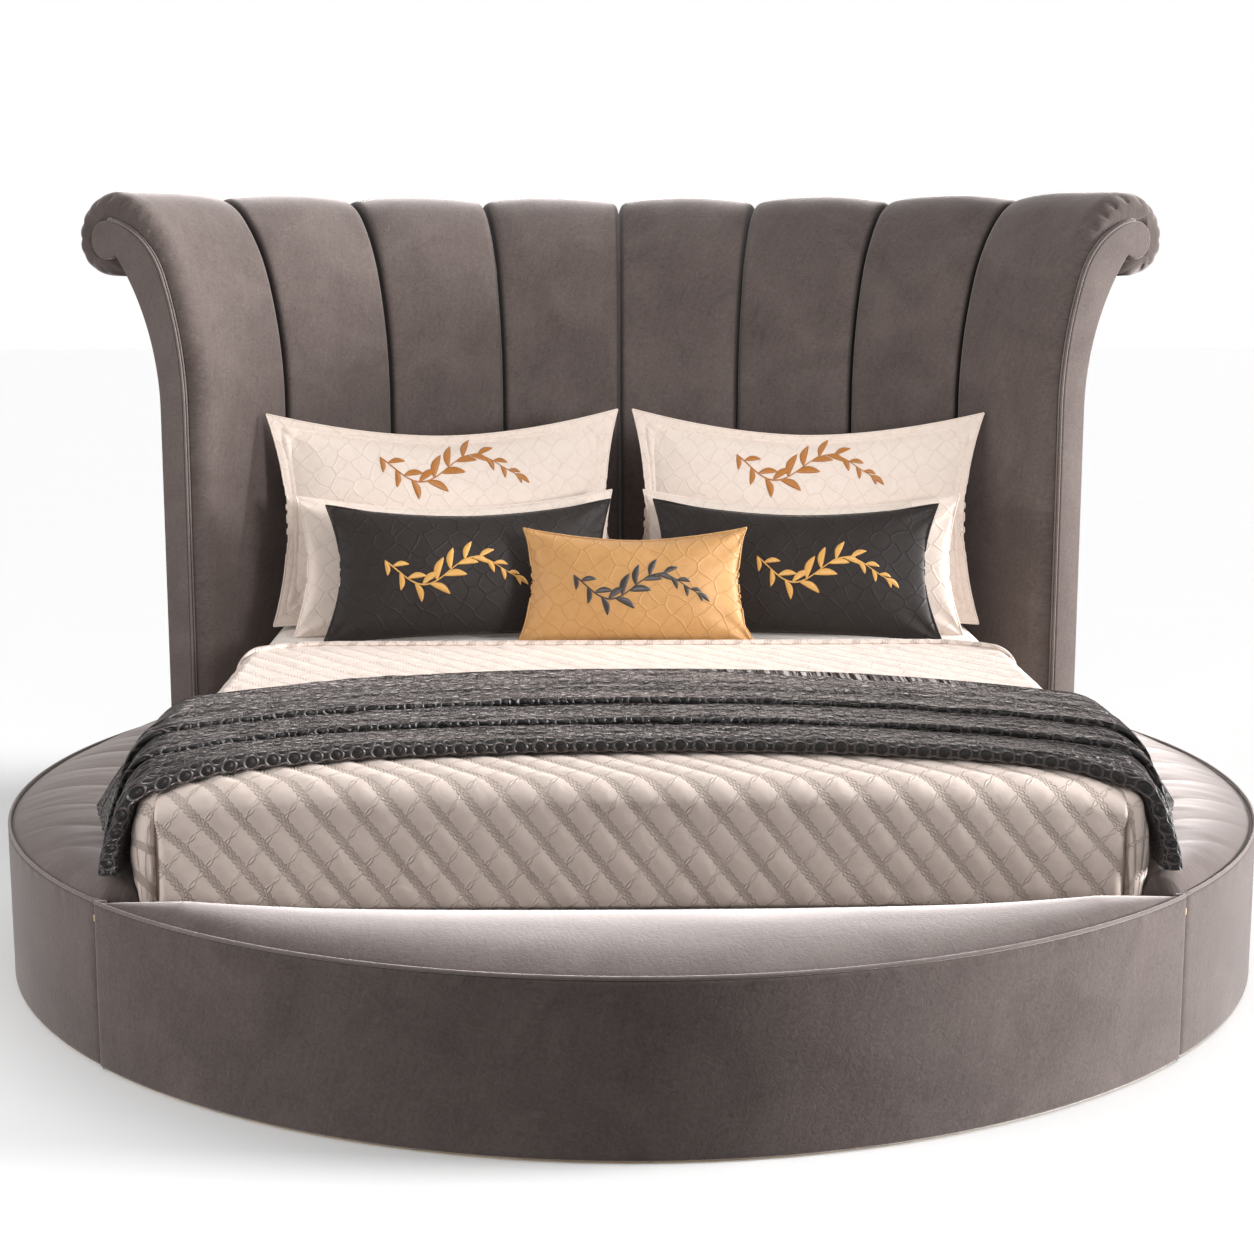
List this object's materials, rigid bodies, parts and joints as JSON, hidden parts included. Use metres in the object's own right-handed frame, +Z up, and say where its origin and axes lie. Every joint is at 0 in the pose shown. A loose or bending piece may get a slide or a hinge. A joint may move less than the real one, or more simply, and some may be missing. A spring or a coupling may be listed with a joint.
{
  "type": "round bed",
  "caption": "Round upholstered bed with a curved channelled headboard that rolls over into a scroll, a quilted coverlet, a throw and leaning cushions.",
  "frame": {"origin": "centre of the middle leg's sole on the floor, under the middle of the round base", "axes": "-Z points down out of the resting face into the floor, so +Z is up; +X is the right side seen from the foot; +Y points from the foot to the headboard"},
  "size_m": [2.7548, 3.1013, 1.622],
  "materials": {
    "velvet": "taupe upholstery velvet",
    "plywood": "bent birch plywood",
    "pine": "planed pine",
    "steel": "zinc-plated steel",
    "plastic": "moulded glides and feet",
    "quilting": "cream quilted cotton satin",
    "sheet": "cotton percale",
    "ticking": "mattress ticking",
    "throw": "charcoal embossed satin",
    "beige": "embossed beige cotton",
    "charcoal": "embossed charcoal cotton",
    "gold": "embossed gold satin"
  },
  "bodies": {
    "root": {"base_ribs": "pine", "centre_beam": "pine", "centre_legs": "pine", "channel_1": "velvet", "channel_2": "velvet", "channel_3": "velvet", "channel_4": "velvet", "channel_5": "velvet", "channel_6": "velvet", "channel_7": "velvet", "channel_8": "velvet", "corner_bolts": "steel", "corner_brackets": "steel", "coverlet": "quilting", "dark_cushion_left": "charcoal", "dark_cushion_right": "charcoal", "fitted_sheet": "sheet", "floor_glides": "plastic", "front_inner_rail": "pine", "front_outer_panel": "plywood", "front_pad": "velvet", "front_top_panel": "plywood", "front_wall_cover": "velvet", "front_welt": "velvet", "gold_cushion": "gold", "head_rail": "pine", "headboard_back_board_left": "plywood", "headboard_back_board_middle": "plywood", "headboard_back_board_right": "plywood", "headboard_back_cover": "velvet", "headboard_bolts": "steel", "headboard_cap_left": "velvet", "headboard_cap_right": "velvet", "headboard_front_boards": "plywood", "headboard_piping_left": "velvet", "headboard_piping_right": "velvet", "headboard_ribs": "plywood", "headboard_scroll_core": "plywood", "headboard_spacers": "pine", "left_inner_rail": "pine", "left_outer_panel": "plywood", "left_pad": "velvet", "left_top_panel": "plywood", "left_wall_cover": "velvet", "left_welt": "velvet", "leg_feet": "plastic", "mattress": "ticking", "plain_cushion_left": "beige", "plain_cushion_right": "beige", "right_inner_rail": "pine", "right_outer_panel": "plywood", "right_pad": "velvet", "right_top_panel": "plywood", "right_wall_cover": "velvet", "right_welt": "velvet", "sham_left": "beige", "sham_right": "beige", "slat_ledgers": "pine", "slats": "pine", "throw": "throw"}
  },
  "joints": []
}
